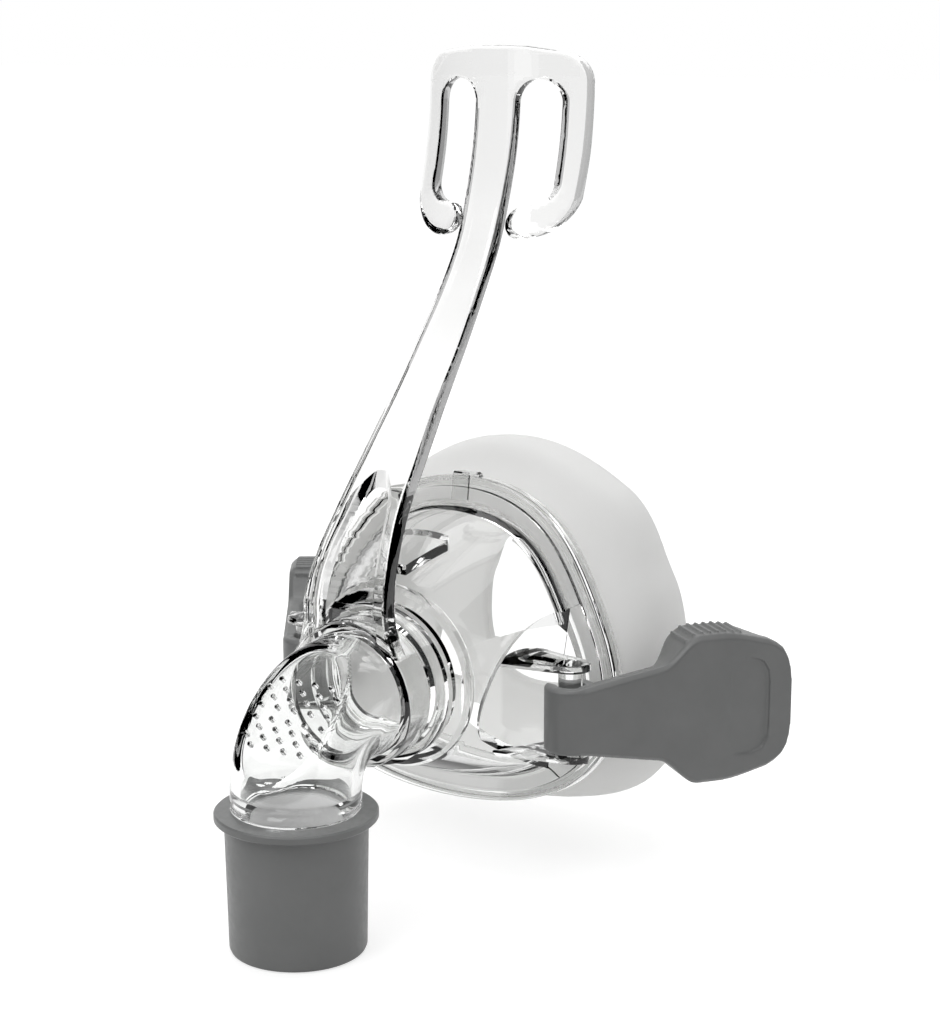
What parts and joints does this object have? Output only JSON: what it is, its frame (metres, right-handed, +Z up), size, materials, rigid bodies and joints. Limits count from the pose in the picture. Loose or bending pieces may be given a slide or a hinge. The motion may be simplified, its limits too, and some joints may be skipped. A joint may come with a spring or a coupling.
{
  "type": "nasal cpap mask",
  "caption": "Nasal mask with a clear domed frame, forehead strap plate, silicone cushion, vented swivel elbow, conical hose cuff and swivelling side clips.",
  "frame": {"origin": "middle of the face seal, where the cushion's rear edge meets the face", "axes": "+Z up the face, +Y towards the face, -Y forward to the hose side, +X towards the wearer's left"},
  "size_m": [0.1056, 0.0984, 0.1399],
  "materials": {
    "clear_plastic": "clear polished",
    "silicone": "frosted translucent",
    "grey_plastic": "fine satin"
  },
  "bodies": {
    "mask": {"mask_frame": "clear_plastic", "cushion_ring": "clear_plastic", "cushion": "silicone"},
    "elbow": {"elbow": "clear_plastic"},
    "cuff": {"swivel_cuff": "grey_plastic"},
    "right_clip": {"right_clip": "grey_plastic"},
    "left_clip": {"left_clip": "grey_plastic"}
  },
  "joints": [
    {"name": "elbow_swivel", "type": "hinge", "parent": "mask", "child": "elbow", "pos_m": [0, -0.084, 0.0012], "axis": [0, 0.9994, 0.0349], "continuous": true},
    {"name": "cuff_swivel", "type": "hinge", "parent": "elbow", "child": "cuff", "pos_m": [0, -0.084, -0.013], "axis": [0, 0, 1], "continuous": true},
    {"name": "right_clip_swivel", "type": "hinge", "parent": "mask", "child": "right_clip", "pos_m": [0.0269, -0.0451, -0.0037], "axis": [0, 0, 1], "range_deg": [-60, 3]},
    {"name": "left_clip_swivel", "type": "hinge", "parent": "mask", "child": "left_clip", "pos_m": [-0.0269, -0.0451, -0.0037], "axis": [0, 0, 1], "range_deg": [0, 64]}
  ]
}
